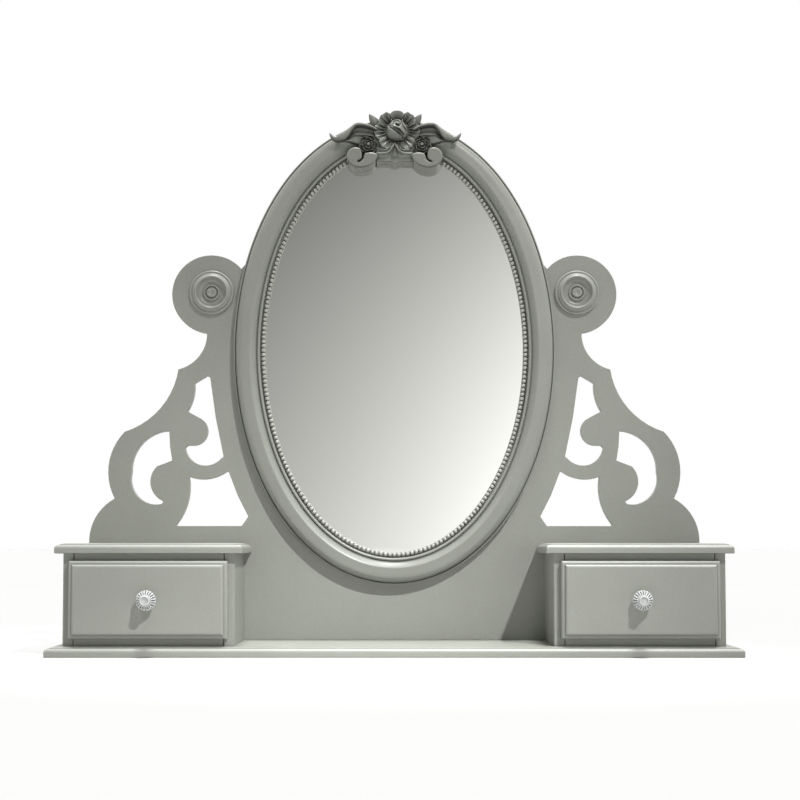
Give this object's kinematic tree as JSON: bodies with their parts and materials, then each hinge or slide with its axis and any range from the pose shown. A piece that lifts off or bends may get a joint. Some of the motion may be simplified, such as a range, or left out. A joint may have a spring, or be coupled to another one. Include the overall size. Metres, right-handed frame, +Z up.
{
  "type": "dressing table mirror",
  "caption": "Oval mirror in a moulded frame on a fretwork back, standing on a long base with a small drawer case at each end.",
  "frame": {"origin": "centre of the base board's underside", "axes": "+X the viewer's right along the long side, +Y to the back, +Z up"},
  "size_m": [1.067, 0.2215, 0.885],
  "materials": {
    "grey_paint": "satin grey paint on board",
    "mirror_glass": "silvered glass",
    "crystal": "clear cut glass",
    "knob_metal": "polished plate",
    "drawer_wood": "bare sanded wood",
    "hardboard": "bare hardboard",
    "screw_steel": "zinc plated"
  },
  "bodies": {
    "carcase": {"base_board": "grey_paint", "back_panel": "grey_paint", "mirror_frame": "grey_paint", "bead_trim": "grey_paint", "mirror_glass": "mirror_glass", "mirror_backing": "hardboard", "crest": "grey_paint", "crest_screws": "screw_steel", "frame_screws": "screw_steel", "panel_screws": "screw_steel", "base_screws": "screw_steel", "left_rosette": "grey_paint", "left_case_outer_side": "grey_paint", "left_case_inner_side": "grey_paint", "left_case_top_board": "grey_paint", "left_case_bottom_board": "grey_paint", "left_case_cap": "grey_paint", "left_case_dowels": "drawer_wood", "left_cap_screws": "screw_steel", "right_rosette": "grey_paint", "right_case_outer_side": "grey_paint", "right_case_inner_side": "grey_paint", "right_case_top_board": "grey_paint", "right_case_bottom_board": "grey_paint", "right_case_cap": "grey_paint", "right_case_dowels": "drawer_wood", "right_cap_screws": "screw_steel"},
    "left_drawer": {"left_drawer_front": "grey_paint", "left_drawer_box_front": "drawer_wood", "left_drawer_box_back": "drawer_wood", "left_drawer_box_outer_side": "drawer_wood", "left_drawer_box_inner_side": "drawer_wood", "left_drawer_bottom": "hardboard", "left_drawer_front_screws": "screw_steel", "left_knob_ferrule": "knob_metal", "left_knob": "crystal", "left_knob_screw": "screw_steel"},
    "right_drawer": {"right_drawer_front": "grey_paint", "right_drawer_box_front": "drawer_wood", "right_drawer_box_back": "drawer_wood", "right_drawer_box_outer_side": "drawer_wood", "right_drawer_box_inner_side": "drawer_wood", "right_drawer_bottom": "hardboard", "right_drawer_front_screws": "screw_steel", "right_knob_ferrule": "knob_metal", "right_knob": "crystal", "right_knob_screw": "screw_steel"}
  },
  "joints": [
    {"name": "left_drawer_slide", "type": "slide", "parent": "carcase", "child": "left_drawer", "axis": [0, -1, 0], "range_m": [0, 0.11]},
    {"name": "right_drawer_slide", "type": "slide", "parent": "carcase", "child": "right_drawer", "axis": [0, -1, 0], "range_m": [0, 0.11]}
  ]
}
